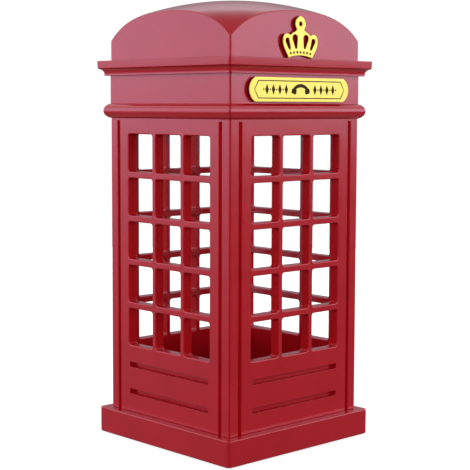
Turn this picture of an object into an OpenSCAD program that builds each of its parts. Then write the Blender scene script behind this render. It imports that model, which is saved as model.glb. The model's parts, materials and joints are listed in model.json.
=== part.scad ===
// A desk lamp in the shape of a telephone booth. Millimetres, +Z up, front towards -Y.
// The origin is the middle of the footprint, at the underside of the rubber feet.

/* [Booth body] */
// Width of the square body, face to face
body_w = 95; // [80:1:114]
// Height from the top of the plinth to the middle of the half-round band
body_h = 163.4; // [138:0.2:198]
// Thickness of the side plates
wall_t = 6; // [5:0.5:7.5]
// Radius of the body's upright edges
post_r = 1.2; // [0.6:0.1:2]
// Width of the solid post, from the edge of a face to its first window
post_w = 15; // [12.5:0.5:18]
// Height of the solid skirt under the windows
skirt_h = 36.7; // [34:0.5:45]
// Height from the window heads to the middle of the half-round band
head_h = 12.35; // [10:0.5:16]

/* [Windows] */
// Window columns on a face
window_cols = 3; // [2:1:4]
// Window rows on a face
window_rows = 5; // [3:1:7]
// Width of the bars between the columns
mullion_w = 2.6; // [1.6:0.1:4]
// Height of the bars between the rows
rail_h = 3.4; // [2:0.1:5]
// Radius of the window corners
window_r = 1.5; // [0.5:0.1:3]

/* [Grooves and slots] */
// Distance of the upright grooves from the edge of a face
groove_in = 7.1; // [5.5:0.1:9]
// Width of the upright grooves
groove_w = 1.5; // [0.8:0.1:2]
// Depth of the upright grooves
groove_d = 1.2; // [0.6:0.1:2]
// Distance of the slots' ends from the edge of a face
slot_in = 15.9; // [14:0.1:20]
// Height of a slot
slot_h = 2.8; // [1.5:0.1:4]
// Depth of a slot
slot_d = 2.8; // [1.5:0.1:3]
// Middle of the lower slot above the plinth
slot_low = 11.3; // [8:0.1:14]
// Distance between the two slots
slot_pitch = 14.75; // [8:0.25:18]

/* [Mouldings] */
// Radius of the half-round band
band_r = 4.1; // [3:0.1:5]
// How far the band stands out
band_out = 3.15; // [2:0.05:4]
// How far the frieze stands out
frieze_out = 0.3; // [0:0.1:1]
// Height of the frieze
frieze_h = 14.7; // [12.5:0.1:18]
// Height of the cornice
cornice_h = 8; // [6.5:0.1:10]
// How far the cornice's underside stands out
cornice_step = 2.65; // [1.5:0.05:4]
// Radius of the hollow under the cornice
cove_r = 2.78; // [1.5:0.01:3.5]
// Straight rise under that hollow
cove_lift = 0.92; // [0:0.01:2]

/* [Roof] */
// Height of the roof walls at the corners
roof_wall_h = 9.66; // [8:0.1:14]
// Rise of the arches from the corners to the middle of a face
arch_rise = 14.9; // [12:0.1:18]
// Rise of the dome above the arches
crown_rise = 7.33; // [5:0.1:9]
// Wall of the roof cap
roof_t = 2.4; // [1.8:0.1:3]

/* [Plinth] */
// How far the plinth stands out past the body
plinth_out = 5; // [4:0.5:8]
// Height of the plinth
plinth_h = 13.8; // [13.4:0.1:18]
// Radius of the plinth's upright edges
plinth_corner_r = 2.2; // [1:0.1:4]
// Wall of the plinth
plinth_t = 2.5; // [2:0.1:3]
// Thickness of the bottom cover
cover_t = 2; // [1.6:0.1:2.4]
// How far the feet stand out under the plinth
foot_stand = 0.8; // [0.4:0.1:2]
// Radius of a foot
foot_r = 6; // [4:0.5:8]

/* [Badges] */
// Sideways place of both badges
badge_x = 0; // [-4:0.1:4]
// Thickness of a badge's moulded body
badge_t = 1.4; // [1:0.1:4]
// Thickness of a badge's gold face
face_t = 0.6; // [0.4:0.1:1]
// Depth of the engraved lines
engrave_d = 0.35; // [0.1:0.05:0.35]
// Width of the sign
sign_w = 73.2; // [62:0.2:76]
// Height of the sign
sign_h = 12.4; // [10.4:0.2:12.4]
// Radius of the sign's ends
sign_end_r = 6.6; // [6.4:0.1:10]
// Height of the crown over the cornice
crown_lift = 0.3; // [0.1:0.1:3]

/* [Lamp] */
// Height of the lamp tray above the middle of the band
tray_up = 4.8; // [4:0.1:10]
// Thickness of the lamp tray
tray_t = 2.2; // [1.6:0.1:3]
// Radius of the diffuser
diffuser_r = 31; // [24:0.5:32]
// Depth of the diffuser
diffuser_h = 10.5; // [8:0.5:12]
// Wall of the diffuser
diffuser_t = 1.6; // [1:0.1:2.5]
// Radius of the light-diode board
led_board_r = 23; // [20:0.5:26]
// Radius of the touch plate under the dome
touch_r = 15; // [8:0.5:20]
// Radius of an insulated wire
wire_r = 0.6; // [0.4:0.05:0.6]

/* [Power] */
// Length of the pouch cell, across the booth
battery_l = 58; // [40:1:60]
// Width of the pouch cell
battery_w = 38; // [30:1:40]
// Thickness of the pouch cell
battery_t = 5; // [4:0.1:5.6]
// Length of the main board, across the booth
board_l = 64; // [60:1:66]
// Travel of the power switch's knob
switch_travel = 4; // [2:0.5:5]

/* [Hidden] */

red = [0.66, 0.05, 0.09];
dark_red = [0.42, 0.02, 0.04];
gold = [0.96, 0.84, 0.42];
steel = [0.72, 0.73, 0.75];
opal = [0.95, 0.95, 0.92];
black = [0.08, 0.08, 0.09];
board_green = [0.06, 0.32, 0.18];

fine = 96;         // sides drawn on large rounds
small = 32;        // sides drawn on small rounds
fit = 0.2;         // clearance round a piece that drops into another
screw_fit = 0.05;  // clearance round a screw
eps = 0.02;        // overshoot of a cut

// Heights
plinth_z = foot_stand;
plinth_top = plinth_z + plinth_h;
band_z = plinth_top + body_h;
frieze_z = band_z + band_r;
cornice_z = frieze_z + frieze_h;
sides_top = cornice_z + cornice_h;
corner_z = sides_top + roof_wall_h;
apex_z = corner_z + arch_rise;
dome_top = apex_z + crown_rise;

// Half widths
half = body_w / 2;
inner = half - wall_t;
plinth_half = half + plinth_out;
plinth_inner = plinth_half - plinth_t;

// Windows fill the field between the posts, the skirt and the head
field_w = body_w - 2 * post_w;
field_h = body_h - skirt_h - head_h;
window_w = (field_w - (window_cols - 1) * mullion_w) / window_cols;
window_h = (field_h - (window_rows - 1) * rail_h) / window_rows;

// The dome is turned: a wide crown arc runs into a tighter shoulder arc that meets the corners
crown_arc_r = (half * half + crown_rise * crown_rise) / (2 * crown_rise);
crown_arc_z = dome_top - crown_arc_r;
tangent_x = half + 1;
tangent_dir = [tangent_x / crown_arc_r, sqrt(1 - pow(tangent_x / crown_arc_r, 2))];
corner_from_crown = [half * sqrt(2), corner_z - crown_arc_z];
corner_along = corner_from_crown * tangent_dir;
shoulder_r = (corner_from_crown * corner_from_crown - 2 * crown_arc_r * corner_along
    + crown_arc_r * crown_arc_r) / (2 * (crown_arc_r - corner_along));
shoulder_x = (crown_arc_r - shoulder_r) * tangent_dir[0];
shoulder_z = crown_arc_z + (crown_arc_r - shoulder_r) * tangent_dir[1];

// The touch plate is foil, glued under the dome's crown arc
foil_t = 0.5;
glue_t = 0.3;
foil_r = crown_arc_r - roof_t - glue_t - foil_t;

// Screws
screw_r = 1.4;
screw_head_r = 2.4;
screw_head_h = 1.5;
small_screw_r = 1;
small_head_r = 2;
small_head_h = 1.3;

// Sides to plinth
wall_screw_u = half - 11.5;
wall_screw_d = half - wall_t / 2;
wall_screw_l = 8;

// Roof cap: a flange rests on the sides, a skirt drops inside them, posts reach the tray
flange_t = 2;
skirt_t = 2.3;
skirt_drop = 6;
post_in = inner - 8.5;
roof_post_r = 3.2;
roof_screw_l = 8;

// Lamp tray and what hangs under it
tray_z = band_z + tray_up;
tray_top = tray_z + tray_t;
tray_half = inner - fit;
boss_w = 6;
boss_h = 11;
boss_u = inner - 11.5;
boss_d = inner - boss_w / 2;
tray_screw_l = 8;
rim_t = 1.6;
rim_h = 3;
diffuser_edge_r = 4;
led_board_t = 1.2;
led_size = [3.5, 2.8, 0.8];
led_count = 8;
led_ring_r = 14;
led_screw_x = 19.5;
led_screw_l = 2.8;

// Base cavity
roof_of_base = plinth_top - plinth_t;
cover_top = plinth_z + cover_t;
cover_half = plinth_inner - fit;
cover_boss_r = 3.4;
cover_boss_u = plinth_inner - 4.5;
cover_screw_l = 7;
cover_head_h = 1;
foot_sink = 0.6;
foot_u = plinth_inner - 16;
pad_t = 0.5;
battery_top = roof_of_base - pad_t;
battery_back = -4;
standoff_h = 2.2;
standoff_r = 2.5;
board_t = 1.6;
board_top = roof_of_base - standoff_h;
board_z = board_top - board_t;
board_back = plinth_inner - 1.5;
board_w = 31.5;
board_front = board_back - board_w;
board_screw_x = board_l / 2 - 3.5;
board_screw_y = [board_front + 3.5, board_front + 16.5];
board_screw_l = board_t + standoff_h + 0.4;

// Rear controls, all hung from the board's underside
plug_h = 3.8;
plug_z = board_z - plug_h;
port_z = board_z - 1.65;
port_w = 8.94;
port_h = 3.26;
port_l = 7.3;
port_wall = 0.3;
recess_w = 12;
recess_h = 6.4;
switch_x = 18;
switch_size = [12.7, 5.2, 4];
switch_z = board_z - switch_size[2] / 2;
stem = [2.4, 5.4, 1.8];
stem_depth = 3.4;
stem_gap = 0.3;
switch_back = plinth_inner - 0.1;
rib_pitch = 1.4;
rib_gap = 0.7;
knob = [5, 1, 4.6];
knob_recess = 1.3;
knob_sink = 0.2;
light_x = -11;
light_r = 1;

// Corner wires, one above another along the left wall
wire_x = -inner + wire_r + 0.2;
wire_pitch = 1.3;
wire_y = [for (i = [0:2]) inner - wire_r - 0.1 - i * wire_pitch];
wire_low = plug_z + plug_h / 2;
wire_high = tray_top + wire_r + 0.1;
led_hole_x = -14;
led_hole_y = 14;
led_hole_r = 2.6;
touch_xy = [-8, 8];
cover_leg = 7;
wire_cover_t = 1.2;

// ---------- helpers ----------

// A rectangle about the origin with true round corners
module round_rect(w, h, r) {
    square([w - 2 * r, h], center = true);
    square([w, h - 2 * r], center = true);
    for (x = [-1, 1], y = [-1, 1])
        translate([x * (w / 2 - r), y * (h / 2 - r)]) circle(r, $fn = small);
}

// An upright square prism about the axis, half width h, corner radius r
module prism(h, r, z0, z1) {
    translate([0, 0, z0]) linear_extrude(z1 - z0) round_rect(2 * h, 2 * h, r);
}

// A box from its low and its high corner
module block(low, high) {
    translate(low) cube(high - low);
}

// Copies at the four corners of a square
module corners(u) {
    for (x = [-1, 1], y = [-1, 1]) translate([x * u, y * u, 0]) children();
}

// A pan-head screw that points up, its head's seat at the origin
module screw(r, length, head_r, head_h) {
    translate([0, 0, -head_h]) cylinder(h = head_h, r = head_r, $fn = small);
    translate([0, 0, -eps]) cylinder(h = length + eps, r = r, $fn = small);
}

// An insulated wire through a list of points
module wire(points) {
    for (i = [0:len(points) - 2]) {
        run = points[i + 1] - points[i];
        length = norm(run);
        translate(points[i]) rotate([0, acos(run[2] / length), atan2(run[1], run[0])])
            cylinder(h = length, r = wire_r, $fn = 16);
        if (i > 0) translate(points[i]) sphere(wire_r, $fn = 16);
    }
}

// Turns a front piece to each side: front, right, back and left are 0, 1, 2 and 3
module on_side(n) {
    rotate([0, 0, 90 * n]) children();
}

// Stands a flat drawing up on the front: x stays, y becomes height, thickness goes to the front
module stand_up(y, thickness) {
    translate([0, y, 0]) rotate([90, 0, 0]) linear_extrude(thickness) children();
}

// ---------- side plates ----------

module window_field() {
    for (c = [0:window_cols - 1], r = [0:window_rows - 1])
        translate([
            -field_w / 2 + window_w / 2 + c * (window_w + mullion_w),
            plinth_top + skirt_h + window_h / 2 + r * (window_h + rail_h)
        ]) round_rect(window_w, window_h, window_r);
}

// Section of the upper mouldings: x is the distance from the axis, y is the height
module moulding_section() {
    translate([half + band_out - band_r, band_z]) circle(band_r, $fn = 64);
    translate([inner, band_z]) square([wall_t + frieze_out, cornice_z - band_z]);
    translate([inner, cornice_z]) square([wall_t + cornice_step, cornice_h]);
    difference() {
        translate([half + cornice_step - eps, cornice_z + cove_lift])
            square([cove_r + eps, cornice_h - cove_lift]);
        translate([half + cornice_step + cove_r, cornice_z + cove_lift]) circle(cove_r, $fn = 64);
    }
}

// A side plate as it stands at the front, mitred at both edges
module side_plate() {
    intersection() {
        linear_extrude(sides_top)
            polygon([[0, 0], [-2 * half, -2 * half], [2 * half, -2 * half]]);
        union() {
            intersection() {
                prism(half, post_r, plinth_top, band_z);
                difference() {
                    stand_up(-inner, wall_t) difference() {
                        translate([-half, plinth_top]) square([body_w, body_h]);
                        window_field();
                    }
                    side_cuts();
                }
            }
            rotate([90, 0, -90]) linear_extrude(3 * half, center = true) moulding_section();
        }
    }
}

// Grooves, slots and screw holes of a side plate
module side_cuts() {
    groove_top = band_z - band_r - 1;
    for (s = [-1, 1]) {
        translate([s * (half - groove_in) - groove_w / 2, -half - eps, plinth_top - eps])
            cube([groove_w, groove_d + eps, groove_top - plinth_top]);
        translate([s * wall_screw_u, -wall_screw_d, plinth_top - eps])
            cylinder(h = wall_screw_l + 1, r = screw_r + screw_fit, $fn = small);
    }
    for (i = [0, 1])
        translate([-half + slot_in, -half - eps, plinth_top + slot_low + i * slot_pitch - slot_h / 2])
            cube([body_w - 2 * slot_in, slot_d + eps, slot_h]);
}

// A side plate with the two bosses that carry the lamp tray
module side_plate_with_bosses() {
    side_plate();
    for (s = [-1, 1]) difference() {
        block([s * boss_u - boss_w / 2, -inner - eps, tray_z - boss_h],
            [s * boss_u + boss_w / 2, -inner + boss_w, tray_z]);
        translate([s * boss_u, -boss_d, tray_z - tray_screw_l])
            cylinder(h = tray_screw_l + eps, r = screw_r + screw_fit, $fn = small);
    }
}

module front_side() { color(red) side_plate(); }
module right_side() { color(red) on_side(1) side_plate_with_bosses(); }
module back_side() { color(red) on_side(2) side_plate(); }
module left_side() { color(red) on_side(3) side_plate_with_bosses(); }

// ---------- roof ----------

// The turned dome, drawn in by t all round
module dome(t) {
    rotate_extrude($fn = 2 * fine) intersection() {
        union() {
            crown_arc(t, shoulder_x + 1);
            dome_shoulder(t);
        }
        translate([0, sides_top]) square([2 * half, dome_top]);
    }
}

// The part of the crown arc's disc within a distance of the axis
module crown_arc(t, reach) {
    intersection() {
        translate([0, crown_arc_z]) circle(crown_arc_r - t, $fn = 8 * fine);
        translate([0, sides_top]) square([reach, dome_top]);
    }
}

// From the tangent point outward the shoulder arc bounds the dome, and inside it the crown arc does
module dome_shoulder(t) {
    meet = [shoulder_x, shoulder_z] + (shoulder_r - t) * tangent_dir;
    translate([shoulder_x, shoulder_z]) circle(shoulder_r - t, $fn = 2 * fine);
    crown_arc(t, meet[0]);
    translate([0, sides_top]) square([shoulder_x + shoulder_r - t, shoulder_z - sides_top]);
}

module roof_cap() {
    color(red) difference() {
        union() {
            intersection() {
                difference() {
                    prism(half, post_r, sides_top, dome_top + 1);
                    intersection() {
                        prism(half - roof_t, post_r, sides_top - 1, dome_top + 1);
                        dome(roof_t);
                    }
                }
                dome(0);
            }
            difference() {
                prism(half - roof_t + eps, post_r, sides_top, sides_top + flange_t);
                prism(inner - fit - skirt_t, post_r, sides_top - 1, sides_top + flange_t + 1);
            }
            difference() {
                prism(inner - fit, post_r, sides_top - skirt_drop, sides_top + eps);
                prism(inner - fit - skirt_t, post_r, sides_top - skirt_drop - 1, sides_top + 1);
            }
            intersection() {
                corners(post_in) translate([0, 0, sides_top])
                    cylinder(h = dome_top - sides_top, r = roof_post_r, $fn = small);
                dome(roof_t / 2);
            }
            corners(post_in) translate([0, 0, tray_top])
                cylinder(h = sides_top - tray_top + eps, r = roof_post_r, $fn = small);
        }
        corners(post_in) translate([0, 0, tray_top - eps])
            cylinder(h = roof_screw_l, r = screw_r + screw_fit, $fn = small);
    }
}

module roof_screws() {
    color(steel) corners(post_in) translate([0, 0, tray_z])
        screw(screw_r, roof_screw_l, screw_head_r, screw_head_h);
}

// A foil disc that follows the inside of the dome, a layer of glue below it
module touch_plate() {
    color([0.75, 0.45, 0.25]) intersection() {
        translate([0, 0, dome_top - 10]) cylinder(h = 10, r = touch_r, $fn = fine);
        difference() {
            translate([0, 0, crown_arc_z]) sphere(foil_r + foil_t, $fn = 4 * fine);
            translate([0, 0, crown_arc_z]) sphere(foil_r, $fn = 4 * fine);
        }
    }
}

// ---------- base ----------

module plinth() {
    color(red) difference() {
        union() {
            difference() {
                prism(plinth_half, plinth_corner_r, plinth_z, plinth_top);
                prism(plinth_inner, 1, plinth_z - 1, roof_of_base);
            }
            corners(cover_boss_u) translate([0, 0, cover_top])
                cylinder(h = roof_of_base - cover_top + eps, r = cover_boss_r, $fn = small);
            board_screw_places() translate([0, 0, board_top])
                cylinder(h = standoff_h + eps, r = standoff_r, $fn = small);
        }
        corners(cover_boss_u) translate([0, 0, cover_top - eps])
            cylinder(h = cover_screw_l, r = screw_r + screw_fit, $fn = small);
        board_screw_places() translate([0, 0, board_top - eps])
            cylinder(h = standoff_h + 0.8, r = small_screw_r + screw_fit, $fn = small);
        wall_screw_places() translate([0, 0, roof_of_base - 1])
            cylinder(h = plinth_t + 2, r = screw_r + screw_fit, $fn = small);
        block([wire_x - wire_r - 0.2, wire_y[2] - wire_r - 0.3, roof_of_base - 1],
            [wire_x + wire_r + 0.6, wire_y[0] + wire_r + 0.1, plinth_top + 1]);
        rear_cuts();
    }
}

// The plug's recess, the knob's slot and recess, and the light's hole, all in the rear wall
module rear_cuts() {
    translate([0, plinth_inner - 1, port_z]) rotate([-90, 0, 0])
        linear_extrude(plinth_t + 2) round_rect(recess_w, recess_h, 2);
    block([switch_x - stem[0] / 2 - stem_gap, plinth_inner - 1, switch_z - stem[2] / 2 - 0.2],
        [switch_x + switch_travel + stem[0] / 2 + stem_gap, plinth_half, switch_z + stem[2] / 2 + 0.2]);
    block([switch_x - knob[0] / 2 - 0.5, plinth_half - knob_recess, switch_z - knob[2] / 2 - 0.3],
        [switch_x + switch_travel + knob[0] / 2 + 0.5, plinth_half + 1, switch_z + knob[2] / 2 + 0.3]);
    translate([light_x, plinth_inner - 1, switch_z]) rotate([-90, 0, 0])
        cylinder(h = plinth_t + 2, r = light_r + screw_fit, $fn = small);
}

// The eight screws that hold the side plates, two to a side
module wall_screw_places() {
    for (n = [0:3], s = [-1, 1]) on_side(n) translate([s * wall_screw_u, -wall_screw_d, 0]) children();
}

module board_screw_places() {
    for (x = [-1, 1], y = board_screw_y) translate([x * board_screw_x, y, 0]) children();
}

module bottom_cover() {
    color(black) difference() {
        prism(cover_half, 1, plinth_z, cover_top);
        corners(cover_boss_u) translate([0, 0, plinth_z - 1])
            cylinder(h = cover_t + 2, r = screw_r + screw_fit, $fn = small);
        corners(cover_boss_u) translate([0, 0, plinth_z - 1])
            cylinder(h = cover_head_h + 1.1, r = screw_head_r + 0.2, $fn = small);
        corners(foot_u) translate([0, 0, plinth_z - 1])
            cylinder(h = foot_sink + 1, r = foot_r + 0.1, $fn = small);
    }
}

module cover_screws() {
    color(steel) corners(cover_boss_u) translate([0, 0, plinth_z + cover_head_h + 0.1])
        screw(screw_r, cover_screw_l - 0.5, screw_head_r, cover_head_h);
}

module rubber_feet() {
    color(black) corners(foot_u) cylinder(h = foot_stand + foot_sink, r = foot_r, $fn = 48);
}

module wall_screws() {
    color(steel) wall_screw_places() translate([0, 0, roof_of_base])
        screw(screw_r, plinth_t + wall_screw_l, screw_head_r, screw_head_h);
}

// ---------- badges ----------

// Points on a cubic curve
function curve(a, b, c, d, n = 6) = [for (i = [1:n]) let (t = i / n, u = 1 - t)
    u * u * u * a + 3 * u * u * t * b + 3 * u * t * t * c + t * t * t * d];

// Right half of the crown's outline, from the middle of its arched foot up to the neck, and all of it
crown_half = concat(
    [[0, 1.4]],
    curve([0, 1.4], [3.2, 1.4], [6.2, 0.9], [8.7, 0]),
    curve([8.7, 0], [9.6, 2.6], [12.75, 4.6], [12.75, 8.7]),
    curve([12.75, 8.7], [12.75, 10.9], [11.6, 12.3], [9.9, 12.3]),
    curve([9.9, 12.3], [9, 12.3], [8.1, 12], [7.4, 11.5]),
    curve([7.4, 11.5], [6.2, 12.9], [3.4, 13.2], [2.1, 15])
);
crown_outline = concat(crown_half,
    [for (i = [len(crown_half) - 1:-1:1]) [-crown_half[i][0], crown_half[i][1]]]);

// A drop: a wide circle at the top and a narrow one at the foot, joined by straight sides
module drop(top, top_r, foot, foot_r) {
    rise = top - foot;
    turn = asin((top_r - foot_r) / norm(rise));
    lean = atan2(rise[1], rise[0]) - 90;
    polygon(concat(
        [for (i = [0:12]) let (a = lean - turn + i * (180 + 2 * turn) / 12)
            top + top_r * [cos(a), sin(a)]],
        [for (i = [0:8]) let (a = lean + 180 + turn + i * (180 - 2 * turn) / 8)
            foot + foot_r * [cos(a), sin(a)]]));
}

// A plain crown: an arched band with beads, five ribs and a ball
module crown_drawing() {
    translate([badge_x, sides_top + crown_lift]) difference() {
        union() {
            polygon(crown_outline);
            translate([0, 17.4]) circle(3.7, $fn = small);
            translate([0, 20.3]) circle(1.2, $fn = small);
        }
        for (s = [-1, 1]) {
            drop([s * 4, 10], 2, [s * 3.2, 5.5], 0.8);
            drop([s * 9.6, 8.7], 1.45, [s * 7.9, 4.9], 0.8);
        }
        translate([0, 17.4]) circle(1.2, $fn = small);
    }
}

// The row of round beads along the crown's band
module crown_beads() {
    for (i = [-3:3])
        translate([badge_x + i * 2.4, sides_top + crown_lift + 3 - i * i * 0.06])
            circle(0.7, $fn = 16);
}

module crown_badge() {
    color(dark_red) stand_up(-half, badge_t) crown_drawing();
}

module crown_face() {
    color(gold) difference() {
        stand_up(-half - badge_t, face_t) crown_drawing();
        stand_up(-half - badge_t - face_t + engrave_d, engrave_d + eps) crown_beads();
    }
}

sign_z = frieze_z + frieze_h / 2 - 0.4;
sign_y = -half - frieze_out;

// A plate with straight long sides and bowed ends
module sign_drawing() {
    translate([badge_x, sign_z]) intersection() {
        square([sign_w, sign_h], center = true);
        union() {
            square([sign_w - 2 * sign_end_r, sign_h], center = true);
            for (s = [-1, 1])
                translate([s * (sign_w / 2 - sign_end_r), 0]) circle(sign_end_r, $fn = 64);
        }
    }
}

// A long hexagon that keeps a distance from the sign's edge
module hexagon(inset) {
    tip = sign_w / 2 - 1.6 - inset;
    shoulder = sign_w / 2 - 4.4 - inset;
    h = sign_h / 2 - inset;
    polygon([[-tip, 0], [-shoulder, -h], [shoulder, -h], [tip, 0], [shoulder, h], [-shoulder, h]]);
}

// A handset: a bowed handle between two cups
module handset() {
    intersection() {
        difference() {
            translate([0, -5]) circle(8, $fn = 64);
            translate([0, -5]) circle(6.2, $fn = 64);
        }
        translate([-5.6, 0]) square([11.2, 4]);
    }
    for (s = [-1, 1]) translate([s * 4.9, -0.9]) rotate(s * 14) round_rect(3.6, 2.6, 0.6);
}

// What is engraved in the sign: a border, a handset, and lozenges and dots beside it
module sign_engraving() {
    translate([badge_x, sign_z]) {
        difference() {
            hexagon(1.6);
            hexagon(2.1);
        }
        handset();
        for (s = [-1, 1], i = [0:3]) {
            x = s * (10.6 + 4.6 * i);
            translate([x, 0]) polygon([[-1.3, 0], [0, -2.8], [1.3, 0], [0, 2.8]]);
            translate([x + s * 2.3, 0]) circle(0.5, $fn = 16);
        }
    }
}

module sign_plaque() {
    color(dark_red) stand_up(sign_y, badge_t) sign_drawing();
}

module sign_face() {
    color(gold) difference() {
        stand_up(sign_y - badge_t, face_t) sign_drawing();
        stand_up(sign_y - badge_t - face_t + engrave_d, engrave_d + eps) sign_engraving();
    }
}

// ---------- lamp ----------

module lamp_tray() {
    color(opal) difference() {
        union() {
            prism(tray_half, 1, tray_z, tray_top);
            translate([0, 0, tray_z - rim_h]) difference() {
                cylinder(h = rim_h + eps, r = diffuser_r + fit + rim_t, $fn = fine);
                translate([0, 0, -1]) cylinder(h = rim_h + 1, r = diffuser_r + fit, $fn = fine);
            }
        }
        tray_screw_places() translate([0, 0, tray_z - 1])
            cylinder(h = tray_t + 2, r = screw_r + screw_fit, $fn = small);
        corners(post_in) translate([0, 0, tray_z - 1])
            cylinder(h = tray_t + 2, r = screw_r + screw_fit, $fn = small);
        for (s = [-1, 1]) translate([s * led_screw_x, 0, tray_z - 1])
            cylinder(h = tray_t + 2, r = small_screw_r + screw_fit, $fn = small);
        translate([led_hole_x, led_hole_y, tray_z - 1])
            cylinder(h = tray_t + 2, r = led_hole_r, $fn = small);
        block([-tray_half - 1, wire_y[2] - wire_r - 0.3, tray_z - 1],
            [wire_x + wire_r + 0.3, tray_half + 1, tray_top + 1]);
    }
}

module tray_screw_places() {
    for (x = [-1, 1], y = [-1, 1]) translate([x * boss_d, y * boss_u, 0]) children();
}

module tray_screws() {
    color(steel) tray_screw_places() translate([0, 0, tray_top]) rotate([180, 0, 0])
        screw(screw_r, tray_screw_l, screw_head_r, screw_head_h);
}

module led_board() {
    color(opal) difference() {
        translate([0, 0, tray_z - led_board_t]) cylinder(h = led_board_t, r = led_board_r, $fn = fine);
        for (s = [-1, 1]) translate([s * led_screw_x, 0, tray_z - led_board_t - 1])
            cylinder(h = led_board_t + 2, r = small_screw_r + screw_fit, $fn = small);
    }
}

module leds() {
    color([0.98, 0.9, 0.55]) for (i = [0:led_count])
        rotate([0, 0, (i + 0.5) * 360 / led_count])
            translate([i < led_count ? led_ring_r : 0, 0, tray_z - led_board_t - led_size[2] / 2])
                cube(led_size, center = true);
}

module led_board_screws() {
    color(steel) for (s = [-1, 1]) translate([s * led_screw_x, 0, tray_z - led_board_t])
        screw(small_screw_r, led_screw_l, small_head_r, small_head_h);
}

// Half section of the diffuser's outside, drawn in by t
module cup_section(t) {
    r = diffuser_r - t;
    bottom = tray_z - diffuser_h + t;
    round_r = diffuser_edge_r - t;
    translate([0, bottom + round_r]) square([r, diffuser_h]);
    translate([0, bottom]) square([r - round_r, diffuser_h]);
    translate([r - round_r, bottom + round_r]) circle(round_r, $fn = 48);
}

module diffuser() {
    color(opal) rotate_extrude($fn = fine) intersection() {
        translate([0, tray_z - diffuser_h]) square([diffuser_r, diffuser_h]);
        difference() {
            cup_section(0);
            cup_section(diffuser_t);
        }
    }
}

// ---------- wires ----------

// The three runs of the corner start at the lamp plug, go up the corner and come out above the tray
function corner_run(i) = [
    [wire_plug_x - plug_l, wire_y[i], wire_low],
    [wire_x, wire_y[i], wire_low],
    [wire_x, wire_y[i], wire_high]
];
wire_plug_x = -board_l / 2;
plug_l = 5.4;

module lamp_wires() {
    color(black) for (i = [0, 1]) {
        x = led_hole_x - 1 + 2 * i;
        wire(concat(corner_run(2 - i), [
            [x, wire_y[2 - i], wire_high],
            [x, led_hole_y, wire_high],
            [x, led_hole_y, tray_z + eps]
        ]));
    }
}

module touch_wire() {
    plate_z = crown_arc_z + sqrt(foil_r * foil_r - touch_xy * touch_xy);
    color([0.8, 0.1, 0.1]) wire(concat(corner_run(0), [
        [touch_xy[0], wire_y[0], wire_high],
        [touch_xy[0], touch_xy[1], wire_high],
        [touch_xy[0], touch_xy[1], plate_z - 0.15]
    ]));
}

// A strip across the corner that hides the wires
module wire_cover() {
    back = cover_leg - wire_cover_t * sqrt(2);
    color(dark_red) translate([-inner, inner, plinth_top])
        linear_extrude(tray_z - plinth_top)
            polygon([[0, -cover_leg], [cover_leg, 0], [back, 0], [0, -back]]);
}

module lamp_plug() {
    color(opal) block([wire_plug_x - plug_l, wire_y[2] - wire_r - 0.4, plug_z],
        [wire_plug_x, wire_y[0] + wire_r + 0.4, plug_z + plug_h]);
}

// ---------- power ----------

battery_z = battery_top - battery_t;
lead_x = [18.6, 20.6];
battery_plug_y = board_front - plug_l;

module battery() {
    color([0.75, 0.77, 0.8]) translate([0, battery_back - battery_w / 2, battery_z])
        linear_extrude(battery_t) round_rect(battery_l, battery_w, 2);
}

module battery_pad() {
    color(black) block([-battery_l / 2 + 6, battery_back - battery_w + 5, battery_top],
        [battery_l / 2 - 6, battery_back - 5, roof_of_base]);
}

module battery_leads() {
    lead_z = battery_z + wire_r + 0.4;
    color([0.8, 0.1, 0.1]) for (x = lead_x) wire([
        [x, battery_back, lead_z],
        [x, battery_plug_y - 3, lead_z],
        [x, battery_plug_y - 3, wire_low],
        [x, battery_plug_y, wire_low]
    ]);
}

module battery_plug() {
    color(opal) block([lead_x[0] - 2, battery_plug_y, plug_z],
        [lead_x[1] + 2, board_front, plug_z + plug_h]);
}

module main_board() {
    color(board_green) difference() {
        block([-board_l / 2, board_front, board_z], [board_l / 2, board_back, board_top]);
        board_screw_places() translate([0, 0, board_z - 1])
            cylinder(h = board_t + 2, r = small_screw_r + screw_fit, $fn = small);
    }
}

module main_board_screws() {
    color(steel) board_screw_places() translate([0, 0, board_z])
        screw(small_screw_r, board_screw_l, small_head_r, small_head_h);
}

// What is soldered to the board's underside: two plug sockets, a chip, a coil and capacitors
module board_parts() {
    socket_l = 4.6;
    color(black) {
        block([wire_plug_x, wire_y[2] - wire_r - 0.4, plug_z],
            [wire_plug_x + socket_l, wire_y[0] + wire_r + 0.4, board_z]);
        block([lead_x[0] - 2, board_front, plug_z], [lead_x[1] + 2, board_front + socket_l, board_z]);
        block([-4, board_front + 6, board_z - 1.5], [4, board_front + 14, board_z]);
        translate([-14, board_front + 9, board_z - 3]) cylinder(h = 3, r = 3.5, $fn = small);
        for (i = [0:2]) block([9 + 3 * i, board_front + 10, board_z - 1.2],
            [11 + 3 * i, board_front + 13, board_z]);
        block([light_x - 1, board_back - 3, board_z - 2.6], [light_x + 1, board_back - 1.5, board_z]);
    }
}

// A metal shell, open to the rear, with a contact tongue
module usb_socket() {
    color(steel) translate([0, plinth_inner, port_z]) rotate([90, 0, 0]) {
        difference() {
            linear_extrude(port_l) round_rect(port_w, port_h, 1.2);
            translate([0, 0, -1]) linear_extrude(port_l)
                round_rect(port_w - 2 * port_wall, port_h - 2 * port_wall, 1);
        }
        translate([-3.3, -0.35, 1.2]) cube([6.6, 0.7, port_l - 1.5]);
    }
}

module switch_body() {
    color(steel) difference() {
        block([switch_x + switch_travel / 2 - switch_size[0] / 2, switch_back - switch_size[1],
            board_z - switch_size[2]],
            [switch_x + switch_travel / 2 + switch_size[0] / 2, switch_back, board_z]);
        block([switch_x - stem[0] / 2 - stem_gap, switch_back - stem_depth - 0.2,
            switch_z - stem[2] / 2 - 0.2],
            [switch_x + switch_travel + stem[0] / 2 + stem_gap, switch_back + 1,
            switch_z + stem[2] / 2 + 0.2]);
    }
}

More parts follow.
